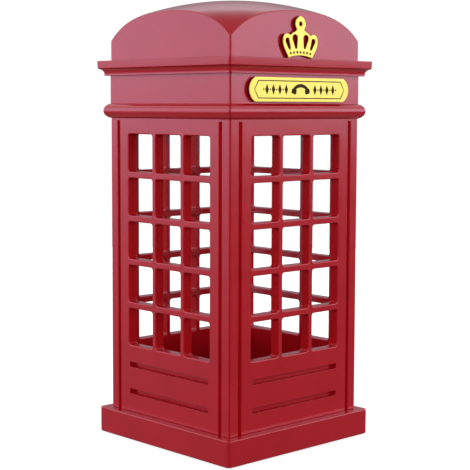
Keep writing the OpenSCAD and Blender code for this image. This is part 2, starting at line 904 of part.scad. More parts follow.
// The knob at its off position: a stem in the switch and a ribbed pad in the recess
module switch_knob() {
    face = plinth_half - knob_sink;
    pad_back = face - knob[1];
    color(black) {
        block([switch_x - stem[0] / 2, switch_back - stem_depth, switch_z - stem[2] / 2],
            [switch_x + stem[0] / 2, pad_back + eps, switch_z + stem[2] / 2]);
        difference() {
            block([switch_x - knob[0] / 2, pad_back, switch_z - knob[2] / 2],
                [switch_x + knob[0] / 2, face, switch_z + knob[2] / 2]);
            for (i = [-1:1])
                translate([switch_x + i * rib_pitch - rib_gap / 2, face - 0.4, switch_z - knob[2] / 2 - 1])
                    cube([rib_gap, 1, knob[2] + 2]);
        }
    }
}

// A light guide from the board's lamp to the plinth's face, with a collar inside the wall
module charge_light() {
    guide_l = plinth_half - knob_sink - (board_back - 1);
    color(opal) translate([light_x, 0, switch_z]) rotate([-90, 0, 0]) {
        translate([0, 0, board_back - 1]) cylinder(h = guide_l, r = light_r, $fn = small);
        translate([0, 0, plinth_inner - 1]) cylinder(h = 1, r = light_r + 0.8, $fn = small);
    }
}

roof_cap();
front_side();
back_side();
left_side();
right_side();
plinth();
bottom_cover();
cover_screws();
rubber_feet();
wall_screws();
crown_badge();
crown_face();
sign_plaque();
sign_face();
lamp_tray();
tray_screws();
roof_screws();
led_board();
leds();
led_board_screws();
diffuser();
touch_plate();
touch_wire();
lamp_wires();
wire_cover();
battery();
battery_pad();
battery_leads();
battery_plug();
main_board();
main_board_screws();
board_parts();
lamp_plug();
usb_socket();
switch_body();
switch_knob();
charge_light();
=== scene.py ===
import json
import math

import bmesh
import bpy
from mathutils import Matrix, Vector


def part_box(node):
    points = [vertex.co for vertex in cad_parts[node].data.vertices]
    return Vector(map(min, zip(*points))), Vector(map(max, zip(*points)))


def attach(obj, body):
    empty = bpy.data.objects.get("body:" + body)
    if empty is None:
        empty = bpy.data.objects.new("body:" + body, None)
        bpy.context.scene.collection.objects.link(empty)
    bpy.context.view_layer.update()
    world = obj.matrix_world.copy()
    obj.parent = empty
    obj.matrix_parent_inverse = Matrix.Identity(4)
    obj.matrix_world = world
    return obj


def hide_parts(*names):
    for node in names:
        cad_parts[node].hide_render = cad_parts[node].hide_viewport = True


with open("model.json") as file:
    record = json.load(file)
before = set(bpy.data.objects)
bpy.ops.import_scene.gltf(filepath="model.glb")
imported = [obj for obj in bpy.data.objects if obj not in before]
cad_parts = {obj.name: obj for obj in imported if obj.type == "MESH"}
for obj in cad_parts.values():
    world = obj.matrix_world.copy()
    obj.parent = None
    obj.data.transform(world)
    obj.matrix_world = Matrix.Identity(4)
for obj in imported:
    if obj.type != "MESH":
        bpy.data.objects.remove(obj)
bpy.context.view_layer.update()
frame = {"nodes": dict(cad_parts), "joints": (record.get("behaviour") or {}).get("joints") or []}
NODES = frame["nodes"]
BOOTH = "booth"
MM = 0.001

# ---------- sizes ----------

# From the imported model
plinth_low, plinth_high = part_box("plinth")
roof_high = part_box("roof_cap")[1]
side_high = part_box("front_side")[1]
half = roof_high.x
plinth_half = plinth_high.x
plinth_bottom = plinth_low.z
plinth_top = plinth_high.z
sides_top = side_high.z
dome_top = roof_high.z
inner = -side_high.y

# Body and windows
post_r = 1.2 * MM
post_w = 15 * MM
skirt_h = 36.7 * MM
head_h = 12.35 * MM
body_h = 163.4 * MM
window_cols = 3
window_rows = 5
mullion_w = 2.6 * MM
rail_h = 3.4 * MM
window_r = 1.5 * MM
mouth_r = 0.6 * MM
mitre_line = 0.2 * MM
field_w = 2 * half - 2 * post_w
field_h = body_h - skirt_h - head_h
window_w = (field_w - (window_cols - 1) * mullion_w) / window_cols
window_h = (field_h - (window_rows - 1) * rail_h) / window_rows

# Grooves and slots
groove_in = 7.1 * MM
groove_w = 1.5 * MM
groove_d = 1.2 * MM
slot_in = 15.9 * MM
slot_h = 2.8 * MM
slot_d = 2.8 * MM
slot_r = 0.4 * MM
slot_mouth_r = 0.12 * MM
slot_low = 11.3 * MM
slot_pitch = 14.75 * MM

# Mouldings
band_r = 4.1 * MM
band_out = 3.15 * MM
frieze_out = 0.3 * MM
cornice_h = 8 * MM
cornice_step = 2.65 * MM
cove_r = 2.78 * MM
cove_lift = 0.92 * MM
arris_r = 0.35 * MM
step_r = 0.15 * MM
fascia_lean = 0.18 * MM
band_z = plinth_top + body_h
cornice_z = sides_top - cornice_h
frieze_z = band_z + band_r

# Roof
crown_rise = 7.33 * MM
arch_rise = 14.9 * MM
roof_t = 2.4 * MM
arch_fillet = 0.7 * MM
corner_z = dome_top - crown_rise - arch_rise

# Plinth
plinth_t = 2.5 * MM
plinth_corner_r = 2.2 * MM
plinth_edge_r = 0.6 * MM
plinth_inner = plinth_half - plinth_t

# Badges
badge_x = 0
badge_t = 1.4 * MM
face_t = 0.6 * MM
engrave_d = 0.35 * MM
inlay_t = 0.25 * MM
sign_w = 73.2 * MM
sign_h = 12.4 * MM
sign_end_r = 6.6 * MM
crown_lift = 0.3 * MM
sign_z = (frieze_z + cornice_z) / 2 - 0.4 * MM


# ---------- mesh helpers ----------

def arc(cx, cy, r, start, end, steps):
    """Points on an arc, angles in degrees."""
    angles = [math.radians(start + (end - start) * i / steps) for i in range(steps + 1)]
    return [(cx + r * math.cos(a), cy + r * math.sin(a)) for a in angles]


def round_corners(corners, steps=4):
    """A closed outline from (x, y, radius) corners, each turned into an arc of its radius."""
    outline = []
    n = len(corners)
    for i in range(n):
        here = Vector(corners[i][:2])
        r = corners[i][2]
        before = Vector(corners[i - 1][:2])
        after = Vector(corners[(i + 1) % n][:2])
        if r == 0:
            outline.append(tuple(here))
            continue
        a = (before - here).normalized()
        b = (after - here).normalized()
        half_angle = math.acos(max(-1, min(1, a.dot(b)))) / 2
        reach = r / math.tan(half_angle)
        centre = here + (a + b).normalized() * (r / math.sin(half_angle))
        start = here + a * reach - centre
        end = here + b * reach - centre
        for k in range(steps + 1):
            direction = start.lerp(end, k / steps).normalized()
            outline.append(tuple(centre + direction * r))
    return outline


def round_rect(w, h, r, steps=6):
    """Outline of a rectangle about the origin with round corners."""
    outline = []
    for sx, sy, turn in ((1, 1, 0), (-1, 1, 90), (-1, -1, 180), (1, -1, 270)):
        outline += arc(sx * (w / 2 - r), sy * (h / 2 - r), r, turn, turn + 90, steps)
    return outline


def rings_mesh(rings, closed_ends=True, wrap=False):
    """A bmesh of quads between equal rings of points; wrap joins the last ring to the first."""
    bm = bmesh.new()
    rows = [[bm.verts.new(p) for p in ring] for ring in rings]
    n = len(rings[0])
    last = len(rows) if wrap else len(rows) - 1
    for i in range(last):
        low = rows[i]
        high = rows[(i + 1) % len(rows)]
        for k in range(n):
            bm.faces.new((low[k], low[(k + 1) % n], high[(k + 1) % n], high[k]))
    if closed_ends and not wrap:
        bm.faces.new(rows[0][::-1])
        bm.faces.new(rows[-1])
    bmesh.ops.recalc_face_normals(bm, faces=bm.faces)
    return bm


def make_object(name, bm):
    """Turns a bmesh into a linked object and frees it."""
    mesh = bpy.data.meshes.new(name)
    bm.to_mesh(mesh)
    bm.free()
    obj = bpy.data.objects.new(name, mesh)
    bpy.context.scene.collection.objects.link(obj)
    return obj


def apply_modifiers(obj):
    """Writes an object's modifiers into its mesh."""
    bpy.context.view_layer.update()
    graph = bpy.context.evaluated_depsgraph_get()
    mesh = bpy.data.meshes.new_from_object(obj.evaluated_get(graph))
    obj.modifiers.clear()
    obj.data = mesh


def cut(obj, cutters):
    """Takes closed cutters away from a closed object."""
    for cutter in cutters:
        modifier = obj.modifiers.new("cut", "BOOLEAN")
        modifier.operation = "DIFFERENCE"
        modifier.solver = "EXACT"
        modifier.material_mode = "TRANSFER"
        modifier.object = cutter
    apply_modifiers(obj)
    for cutter in cutters:
        bpy.data.objects.remove(cutter)


def smooth(obj, degrees=32):
    """Smooth shading that keeps flats flat and creases sharp."""
    mesh = obj.data
    mesh.shade_smooth()
    mesh.set_sharp_from_angle(angle=math.radians(degrees))
    modifier = obj.modifiers.new("normals", "WEIGHTED_NORMAL")
    modifier.keep_sharp = True
    modifier.weight = 100


def finish_piece(obj, material, nodes=(), body=BOOTH):
    """Gives a piece its material if it has none, its body and the CAD nodes that it stands for."""
    materials = obj.data.materials
    if not materials:
        materials.append(material)
    for i, used in enumerate(materials):
        materials[i] = used or material
    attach(obj, body)
    if nodes:
        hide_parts(*nodes)
    return obj


# ---------- materials ----------

class Graph:
    """A short way to write a material's nodes."""

    def __init__(self, name):
        self.material = bpy.data.materials.new(name)
        self.material.use_nodes = True
        self.tree = self.material.node_tree
        self.shader = self.tree.nodes["Principled BSDF"]
        coordinates = self.tree.nodes.new("ShaderNodeTexCoord")
        self.place = coordinates.outputs["Object"]

    def link(self, source, target):
        self.tree.links.new(source, target)

    def noise(self, scale, detail=2.0, roughness=0.5, stretch=(1, 1, 1)):
        mapping = self.tree.nodes.new("ShaderNodeMapping")
        mapping.inputs["Scale"].default_value = stretch
        self.link(self.place, mapping.inputs["Vector"])
        node = self.tree.nodes.new("ShaderNodeTexNoise")
        node.inputs["Scale"].default_value = scale
        node.inputs["Detail"].default_value = detail
        node.inputs["Roughness"].default_value = roughness
        self.link(mapping.outputs["Vector"], node.inputs["Vector"])
        return node.outputs["Fac"]

    def ramp(self, value, stops):
        node = self.tree.nodes.new("ShaderNodeValToRGB")
        elements = node.color_ramp.elements
        while len(elements) < len(stops):
            elements.new(0.5)
        for element, (position, colour) in zip(elements, stops):
            element.position = position
            element.color = (*colour, 1)
        self.link(value, node.inputs["Fac"])
        return node.outputs["Color"]

    def spread(self, value, low, high):
        node = self.tree.nodes.new("ShaderNodeMapRange")
        node.inputs["From Min"].default_value = 0.3
        node.inputs["From Max"].default_value = 0.7
        node.inputs["To Min"].default_value = low
        node.inputs["To Max"].default_value = high
        self.link(value, node.inputs["Value"])
        return node.outputs["Result"]

    def bump(self, value, strength, distance):
        node = self.tree.nodes.new("ShaderNodeBump")
        node.inputs["Strength"].default_value = strength
        node.inputs["Distance"].default_value = distance
        self.link(value, node.inputs["Height"])
        if self.shader.inputs["Normal"].links:
            self.link(self.shader.inputs["Normal"].links[0].from_socket, node.inputs["Normal"])
        self.link(node.outputs["Normal"], self.shader.inputs["Normal"])


def colour(hex_code):
    """Linear colour from a display hex code."""
    parts = [int(hex_code[i:i + 2], 16) / 255 for i in (0, 2, 4)]
    return tuple(c / 12.92 if c <= 0.04045 else ((c + 0.055) / 1.055) ** 2.4 for c in parts)


def moulded(name, dark, light, rough=(0.28, 0.4), grain=1400, depth=0.02, mottle=45, specular=0.5):
    """Moulded plastic: cloudy colour, uneven gloss and a fine orange-peel skin."""
    g = Graph(name)
    g.shader.inputs["Specular IOR Level"].default_value = specular
    cloud = g.noise(mottle, 3.0, 0.6)
    g.link(g.ramp(cloud, [(0.3, colour(dark)), (0.7, colour(light))]), g.shader.inputs["Base Color"])
    g.link(g.spread(g.noise(260, 4.0, 0.65), *rough), g.shader.inputs["Roughness"])
    g.bump(g.noise(grain, 2.0), 0.35, depth * MM)
    g.bump(g.noise(190, 1.0), 0.25, 2 * depth * MM)
    return g.material


def metal(name, dark, light, rough=(0.25, 0.45), metallic=1.0, stretch=(1, 1, 1), scale=900, depth=0.01):
    """Metal with fine scratches along one way."""
    g = Graph(name)
    g.link(g.ramp(g.noise(120, 3.0), [(0.3, colour(dark)), (0.7, colour(light))]),
           g.shader.inputs["Base Color"])
    g.shader.inputs["Metallic"].default_value = metallic
    g.link(g.spread(g.noise(scale, 3.0, 0.6, stretch), *rough), g.shader.inputs["Roughness"])
    g.bump(g.noise(scale, 2.0, 0.5, stretch), 0.3, depth * MM)
    return g.material


red = moulded("red_plastic", "AC0E1A", "B4121F", rough=(0.13, 0.2))
# The badge bodies take a darker copy of the red: painted shade for their sides.
badge_red = moulded("badge_red", "440105", "520208", rough=(0.3, 0.42))
# A darker, duller copy of the red for the walls of windows, slots and grooves: painted shade in these
# recesses.
recess_shade_red = moulded("painted_recess_shade_red", "A0060F", "AA0A14", rough=(0.4, 0.55), specular=0.1)
gold = metal("badge_gold", "E9D04B", "EFD85C", rough=(0.27, 0.31), metallic=0.3, scale=320, depth=0.004)
engraved = moulded("engraved_paint", "2A1C02", "3A2906", rough=(0.45, 0.6), specular=0.1)
black = moulded("black_plastic", "141414", "1E1E1F", rough=(0.42, 0.6), depth=0.04)
rubber = moulded("rubber", "101010", "191919", rough=(0.75, 0.92), grain=2200, depth=0.05)
steel = metal("steel", "8E9094", "B8BABD", stretch=(1, 1, 12))
white = moulded("white_plastic", "E2E0DA", "EDEBE6", rough=(0.35, 0.5))
opal = moulded("opal", "E9E6DD", "F6F3EA", rough=(0.3, 0.45), mottle=30)
lamp = moulded("led", "F1DE86", "FBF0B4", rough=(0.2, 0.3), grain=3000, depth=0.01)
copper = metal("copper_foil", "B5683C", "D08A58", rough=(0.2, 0.4), scale=500)
wire_black = moulded("wire_black", "121212", "1B1B1B", rough=(0.35, 0.5), grain=2600)
wire_red = moulded("wire_red", "98121A", "AA1C24", rough=(0.35, 0.5), grain=2600)
cell_foil = metal("battery_foil", "9EA3A8", "C6CACE", rough=(0.3, 0.55), scale=350)
foam = moulded("foam", "2B2B2D", "3C3C3F", rough=(0.9, 1.0), grain=3200, depth=0.15, mottle=900)
board = moulded("circuit_board", "0E4A28", "146236", rough=(0.25, 0.4), mottle=400)
board_white = moulded("board_white", "DEE0DE", "EDEEEC", rough=(0.3, 0.45), mottle=200)
chip = moulded("chip_black", "17181A", "232427", rough=(0.4, 0.6), grain=4000)

NODE_MATERIALS = {
    "bottom_cover": black, "cover_screws": steel, "rubber_feet": rubber, "wall_screws": steel,
    "lamp_tray": opal, "tray_screws": steel, "roof_screws": steel, "led_board": board_white,
    "leds": lamp, "led_board_screws": steel, "diffuser": opal, "touch_plate": copper,
    "touch_wire": wire_black, "lamp_wires": wire_red, "wire_cover": red, "battery": cell_foil,
    "battery_pad": foam, "battery_leads": wire_red, "battery_plug": white, "main_board": board,
    "main_board_screws": steel, "board_parts": chip, "lamp_plug": white, "usb_socket": steel,
    "switch_body": steel, "charge_light": opal,
}


# ---------- side plates ----------

def mitred_path(d):
    """Plan of one side, mitre to mitre, at the distance d from the axis, with a fine line at each corner."""
    outside = d > inner + MM
    r = post_r if outside else 0.1 * MM
    short_of_mitre = 6 if outside else 0.5
    centre = d - r
    right = [(centre + x, -centre + y) for x, y in arc(0, 0, r, -90, -45 - short_of_mitre, 5)]
    sunk = (r - mitre_line * r / post_r) * math.sqrt(0.5)
    right.append((centre + sunk, -centre - sunk))
    return [(-x, y) for x, y in right[::-1]] + right


def side_section():
    """Upright section of a side plate, as (distance from the axis, height)."""
    band_d = half + band_out - band_r
    meet_low = math.degrees(math.acos((half - band_d) / band_r))
    meet_high = math.degrees(math.acos((half + frieze_out - band_d) / band_r))
    step = half + cornice_step
    outline = round_corners([
        (inner, plinth_top, 0),
        (half, plinth_top, arris_r),
        (half, band_z - band_r * math.sin(math.radians(meet_low)), 0),
    ])
    outline += arc(band_d, band_z, band_r, -meet_low, meet_high, 26)[1:]
    outline += [(half + frieze_out, cornice_z)]
    outline += round_corners([
        (half + frieze_out, cornice_z, 0),
        (step, cornice_z, step_r),
        (step, cornice_z + cove_lift, 0),
    ])[1:]
    outline += arc(step + cove_r, cornice_z + cove_lift, cove_r, 180, 90, 12)[1:-1]
    outline += round_corners([
        (inner, sides_top, 0),
        (step + cove_r - fascia_lean, cornice_z + cove_lift + cove_r, arris_r),
        (step + cove_r, sides_top, arris_r),
        (inner, sides_top, 0),
    ])[1:]
    return outline


def mouth_cutter(w, h, r, place, near, far, lip, open_back):
    """A hole or pocket in the front, its mouths rounded by lip. near and far are its two depths in y."""
    rings = []

    def ring(offset, y):
        plan = round_rect(w + 2 * offset, h + 2 * offset, r + offset)
        rings.append([(place[0] + x, y, place[1] + z) for x, z in plan])

    ring(lip, near - MM)
    for i in range(5):
        a = math.radians(90 * i / 4)
        ring(lip * (1 - math.sin(a)), near + lip * (1 - math.cos(a)))
    if open_back:
        for i in range(4, -1, -1):
            a = math.radians(90 * i / 4)
            ring(lip * (1 - math.sin(a)), far - lip * (1 - math.cos(a)))
        ring(lip, far + MM)
    else:
        ring(0, far)
    cutter = make_object("cutter", rings_mesh(rings))
    if open_back:
        paint_shade_on_walls(cutter, -half + mouth_r, -inner - mouth_r, -0.5)
    else:
        paint_shade_on_walls(cutter, -half, far, -2)
    return cutter


def paint_shade_on_walls(cutter, near, far, lowest):
    """Walls between two depths get a darker, duller red than the face: painted shade in these recesses. A
    window's sill, which faces up, stays polished.
    """
    for face in cutter.data.polygons:
        depths = [cutter.data.vertices[i].co.y for i in face.vertices]
        deep = min(depths) > near - 0.01 * MM and max(depths) < far + 0.01 * MM
        across = abs(face.normal.y) < 0.9
        face.material_index = 1 if deep and across and face.normal.z > lowest else 0


def groove_cutter(x):
    """An upright groove of the front, rounded at its mouth and in its bottom."""
    foot_bevel = 0.3 * MM
    right = [(groove_w / 2 + mouth_r, -half - MM)]
    for i in range(5):
        a = math.radians(90 * i / 4)
        right.append((groove_w / 2 + mouth_r * (1 - math.sin(a)), -half + mouth_r * (1 - math.cos(a))))
    right.append((groove_w / 2, -half + groove_d - foot_bevel))
    right.append((groove_w / 2 - foot_bevel, -half + groove_d))
    section = right + [(-a, b) for a, b in right[::-1]]
    top = band_z - band_r - MM
    rings = [[(x + a, b, z) for a, b in section] for z in (plinth_top - MM, top)]
    cutter = make_object("cutter", rings_mesh(rings))
    # Every face of the groove gets the darker red: painted shade in the groove.
    for face in cutter.data.polygons:
        face.material_index = 1
    return cutter


def front_plate():
    """The front side plate: moulded section, fifteen windows, two grooves and two slots."""
    section = side_section()
    rings = [[(x, y, z) for x, y in mitred_path(d)] for d, z in section]
    bm = rings_mesh([list(column) for column in zip(*rings)])
    plate = make_object("front_plate", bm)
    plate.data.materials.append(red)
    cutters = []
    for c in range(window_cols):
        for r in range(window_rows):
            x = -field_w / 2 + window_w / 2 + c * (window_w + mullion_w)
            z = plinth_top + skirt_h + window_h / 2 + r * (window_h + rail_h)
            cutters.append(mouth_cutter(window_w, window_h, window_r, (x, z), -half, -inner, mouth_r, True))
    for i in range(2):
        place = (0, plinth_top + slot_low + i * slot_pitch)
        cutters.append(mouth_cutter(2 * (half - slot_in), slot_h, slot_r, place,
                                    -half, -half + slot_d, slot_mouth_r, False))
    cutters += [groove_cutter(s * (half - groove_in)) for s in (-1, 1)]
    cut(plate, join_cutters(cutters))
    return plate


def join_cutters(cutters):
    """One object from cutters that don't touch each other."""
    bm = bmesh.new()
    for cutter in cutters:
        bm.from_mesh(cutter.data)
        bpy.data.objects.remove(cutter)
    joined = make_object("cutter", bm)
    joined.data.materials.append(red)
    # The second slot is the darker red, painted shade for the walls of windows, slots and grooves.
    joined.data.materials.append(recess_shade_red)
    return [joined]


def side_plates():
    """The front plate and its three turned copies, one for each side."""
    plate = front_plate()
    for turn, side in enumerate(("front", "right", "back", "left")):
        if turn:
            mesh = plate.data.copy()
            mesh.transform(Matrix.Rotation(math.pi / 2 * turn, 4, "Z"))
            piece = bpy.data.objects.new(side + "_plate", mesh)
            bpy.context.scene.collection.objects.link(piece)
            finish_piece(piece, red, [side + "_side"])
            smooth(piece)
    finish_piece(plate, red, ["front_side"])
    # The turned copies come from the unturned mesh, so the front one is smoothed last
    smooth(plate)


side_plates()


def tray_bosses():
    """The four bosses inside the left and right sides that carry the lamp tray."""
    boss_w = 6 * MM
    boss_h = 11 * MM
    tray_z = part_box("lamp_tray")[1].z - 2.2 * MM
    u = inner - 11.5 * MM
    for sx in (-1, 1):
        for sy in (-1, 1):
            rings = []
            for z, draw in ((tray_z - boss_h, 0.5), (tray_z - boss_h + 0.5 * MM, 0), (tray_z, 0)):
                plan = round_rect(boss_w - draw * MM, boss_w - draw * MM, 0.8 * MM, 4)
                rings.append([(sx * (inner - boss_w / 2) + x, sy * u + y, z) for x, y in plan])
            name = f"tray_boss_{'left' if sx < 0 else 'right'}_{'front' if sy < 0 else 'back'}"
            boss = make_object(name, rings_mesh(rings))
            finish_piece(boss, red)
            smooth(boss)


tray_bosses()


# ---------- roof ----------

class Dome:
    """The turned dome: a wide crown arc runs into a tighter shoulder arc that meets the corners."""

    def __init__(self):
        self.crown_r = (half * half + crown_rise * crown_rise) / (2 * crown_rise)
        self.crown_z = dome_top - self.crown_r
        self.tangent_x = half + MM
        way = Vector((self.tangent_x / self.crown_r,
                      math.sqrt(1 - (self.tangent_x / self.crown_r) ** 2)))
        corner = Vector((half * math.sqrt(2), corner_z - self.crown_z))
        along = corner.dot(way)
        self.shoulder_r = ((corner.dot(corner) - 2 * self.crown_r * along + self.crown_r ** 2)
                           / (2 * (self.crown_r - along)))
        self.shoulder_x = (self.crown_r - self.shoulder_r) * way.x
        self.shoulder_z = self.crown_z + (self.crown_r - self.shoulder_r) * way.y
        self.way = way

    def height(self, r, inset=0.0):
        """Height of the surface at the radius r, drawn in by inset."""
        meet = self.shoulder_x + (self.shoulder_r - inset) * self.way.x
        if r <= meet:
            return self.crown_z + math.sqrt((self.crown_r - inset) ** 2 - r * r)
        reach = max(0.0, (self.shoulder_r - inset) ** 2 - (r - self.shoulder_x) ** 2)
        return self.shoulder_z + math.sqrt(reach)

    def slope(self, r):
        """How steeply the surface falls outwards at the radius r."""
        step = 0.01 * MM
        return (self.height(r - step) - self.height(r + step)) / (2 * step)


def square_path(h, r, per_side=44, per_corner=6):
    """Points round a square of half width h with corner radius r, each with its outward direction."""
    points = []
    for turn in range(4):
        spin = Matrix.Rotation(math.radians(90 * turn), 2)
        for i in range(per_side):
            t = -1 + 2 * (i + 0.5) / per_side
            points.append((spin @ Vector((h, t * (h - r))), spin @ Vector((1, 0))))
        for k in range(per_corner + 1):
            a = math.radians(90 * k / per_corner)
            out = Vector((math.cos(a), math.sin(a)))
            points.append((spin @ (Vector((h - r, h - r)) + out * r), spin @ out))
    return points


def roof_shell():
    """The roof: a domed top, arches with rounded rims, upright walls and a hollow inside."""
    dome = Dome()
    path = square_path(half, post_r)
    rims = []
    for place, out in path:
        radius = place.length
        fall = math.atan(dome.slope(radius) * place.normalized().dot(out))
        edge = dome.height(radius)
        centre_z = edge + arch_fillet * math.tan(fall) - arch_fillet / math.cos(fall)
        rims.append((place, out, fall, centre_z))
    rings = []
    inner_path = square_path(half - roof_t, post_r)
    bottom = sides_top
    for s in (0.12, 0.4, 0.7, 0.9, 0.985):
        rings.append([(*(p * s), dome.height(p.length * s, roof_t)) for p, _ in inner_path])
    rings.append([(*p, dome.height(p.length, roof_t)) for p, _ in inner_path])
    rings.append([(*p, bottom) for p, _ in inner_path])
    rings.append([(*(p - out * 0.15 * MM), bottom) for p, out in path])
    rings.append([(*p, bottom + 0.15 * MM) for p, _ in path])
    rings.append([(*p, (bottom + corner_z) / 2) for p, _ in path])
    for k in range(7):
        ring = []
        for place, out, fall, centre_z in rims:
            a = math.pi / 2 + (fall - math.pi / 2) * k / 6
            spot = place - out * arch_fillet * (1 - math.sin(a))
            ring.append((*spot, centre_z + arch_fillet * math.cos(a)))
        rings.append(ring)
    tops = [place - out * arch_fillet * (1 - math.sin(fall)) for place, out, fall, _ in rims]
    shells = [1 - 0.03 * i for i in range(1, 33)]
    for s in shells:
        rings.append([(*(p * s), dome.height(p.length * s)) for p in tops])
    roof = make_object("roof_shell", rings_mesh(rings))
    finish_piece(roof, red, ["roof_cap"])
    smooth(roof, 40)


roof_shell()


# ---------- plinth ----------

def plinth_body():
    """The hollow plinth with rounded edges, its plate on top, and the openings in its rear wall."""
    socket_low, socket_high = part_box("usb_socket")
    knob_low, knob_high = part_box("switch_knob")
    light_low, light_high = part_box("charge_light")
    ceiling = plinth_top - plinth_t
    section = round_corners([
        (plinth_inner, plinth_bottom, 0.2 * MM),
        (plinth_half, plinth_bottom, 0.8 * MM),
        (plinth_half, plinth_top, plinth_edge_r),
        (half - 4 * MM, plinth_top, 0),
    ], 7)
    rings = []
    for x in (0.1, 0.6):
        rings.append([(*(p * x), ceiling) for p, _ in square_path(plinth_inner, MM, 8)])
    rings.append([(*p, ceiling) for p, _ in square_path(plinth_inner, MM, 8)])
    for d, z in section:
        r = plinth_corner_r if d > plinth_inner + 0.5 * MM else MM
        r = max(0.3 * MM, r - max(0, plinth_half - d) * (0.5 if z > ceiling else 0))
        rings.append([(*p, z) for p, _ in square_path(d, r, 8)])
    for x in (0.6, 0.1):
        rings.append([(*(p * x), plinth_top) for p, _ in square_path(half, MM, 8)])
    plinth = make_object("plinth_body", rings_mesh(rings))

    def rear_pocket(w, h, r, x, z, depth):
        """A cutter for a pocket or hole in the rear wall, with a bevelled mouth."""
        rings = []
        back = plinth_half - depth
        for offset, y in ((0.3, MM), (0.3, 0), (0.09, -0.09 * MM), (0, -0.3 * MM)):
            plan = round_rect(w + 2 * offset * MM, h + 2 * offset * MM, r + offset * MM)
            rings.append([(x + a, plinth_half + y, z + b) for a, b in plan])
        rings.append([(x + a, back, z + b) for a, b in round_rect(w, h, r)])
        return make_object("cutter", rings_mesh(rings))

    travel = frame["joints"][0]["range_m"][1]
    knob_x = (knob_low.x + knob_high.x + travel) / 2
    knob_z = (knob_low.z + knob_high.z) / 2
    knob_w = knob_high.x - knob_low.x
    knob_h = knob_high.z - knob_low.z
    socket_z = (socket_low.z + socket_high.z) / 2
    light_x = (light_low.x + light_high.x) / 2
    through = plinth_t + MM
    pockets = [
        rear_pocket(12 * MM, 6.4 * MM, 2 * MM, 0, socket_z, through),
        rear_pocket(knob_w + travel + MM, knob_h + 0.6 * MM, 0.5 * MM, knob_x, knob_z, 1.3 * MM),
        rear_pocket(7 * MM, 2.2 * MM, 0.3 * MM, knob_x, knob_z, through),
        rear_pocket(2.1 * MM, 2.1 * MM, 1.04 * MM, light_x, knob_z, through),
    ]
    for pocket in pockets:
        cut(plinth, [pocket])
    finish_piece(plinth, red, ["plinth"])
    smooth(plinth)


plinth_body()


# ---------- badges ----------

def drawing(name, outlines, back, thickness, edge):
    """A flat drawing stood up on the front: outlines in x and z, from y = back forwards, edges rounded."""
    curve = bpy.data.curves.new(name, "CURVE")
    curve.dimensions = "2D"
    curve.fill_mode = "BOTH"
    curve.extrude = thickness / 2 - edge
    curve.bevel_depth = edge
    curve.bevel_resolution = 3
    curve.offset = -edge
    for outline in outlines:
        spline = curve.splines.new("POLY")
        spline.points.add(len(outline) - 1)
        for point, (x, z) in zip(spline.points, outline):
            point.co = (x, z, 0, 1)
        spline.use_cyclic_u = True
    source = bpy.data.objects.new(name, curve)
    bpy.context.scene.collection.objects.link(source)
    bpy.context.view_layer.update()
    graph = bpy.context.evaluated_depsgraph_get()
    mesh = bpy.data.meshes.new_from_object(source.evaluated_get(graph))
    bpy.data.objects.remove(source)
    mesh.transform(Matrix.Translation((0, back - thickness / 2, 0)) @ Matrix.Rotation(math.pi / 2, 4, "X"))
    obj = bpy.data.objects.new(name, mesh)
    bpy.context.scene.collection.objects.link(obj)
    weld = obj.modifiers.new("weld", "WELD")
    weld.merge_threshold = 0.002 * MM
    apply_modifiers(obj)
    return obj


def cubic(a, b, c, d, steps=10):
    """Points on a cubic curve, without its first."""
    points = []
    for i in range(1, steps + 1):
        t = i / steps
        u = 1 - t
        points.append(tuple(u ** 3 * a[k] + 3 * u * u * t * b[k] + 3 * u * t * t * c[k] + t ** 3 * d[k]
                            for k in (0, 1)))
    return points


def moved(outline, dx=0.0, dy=0.0, degrees=0.0):
    """An outline in millimetres, turned and then moved."""
    spin = Matrix.Rotation(math.radians(degrees), 2)
    return [tuple(spin @ Vector(p) + Vector((dx, dy))) for p in outline]


def drop(top, top_r, foot, foot_r):
    """A drop: a wide circle at the top and a narrow one at the foot, joined by straight sides."""
    rise = Vector(top) - Vector(foot)
    turn = math.degrees(math.asin((top_r - foot_r) / rise.length))
    lean = math.degrees(math.atan2(rise.y, rise.x)) - 90
    return (arc(*top, top_r, lean - turn, lean + 180 + turn, 18)
            + arc(*foot, foot_r, lean + 180 + turn, lean + 360 - turn, 12))


def crown_outline():
    """Outline of the crown with its ball and knob, from the middle of its arched foot."""
    right = [(0, 1.4)]
    right += cubic((0, 1.4), (3.2, 1.4), (6.2, 0.9), (8.7, 0))
    right += cubic((8.7, 0), (9.6, 2.6), (12.75, 4.6), (12.75, 8.7))
    right += cubic((12.75, 8.7), (12.75, 10.9), (11.6, 12.3), (9.9, 12.3))
    right += cubic((9.9, 12.3), (9, 12.3), (8.1, 12), (7.4, 11.5))
    right += cubic((7.4, 11.5), (6.2, 12.9), (3.4, 13.2), (2.1, 15))
    ball_z, ball_r, knob_z, knob_r = 17.4, 3.7, 20.3, 1.2
    start = math.degrees(math.asin((15 - ball_z) / ball_r))
    right = right[:-1]
    meet = (ball_r ** 2 - knob_r ** 2 + (knob_z - ball_z) ** 2) / (2 * (knob_z - ball_z))
    end = math.degrees(math.asin(meet / ball_r))
    right += arc(0, ball_z, ball_r, start, end, 14)
    knob_start = math.degrees(math.asin((ball_z + meet - knob_z) / knob_r))
    right += arc(0, knob_z, knob_r, knob_start, 90, 8)[1:]
    return right + [(-x, z) for x, z in right[-2:0:-1]]


def circle(r, steps=28):
    return arc(0, 0, r, 0, 360, steps)[:-1]


def placed(outlines, x, z):
    """Outlines in millimetres, set about a place in metres."""
    return [[(x + a * MM, z + b * MM) for a, b in outline] for outline in outlines]


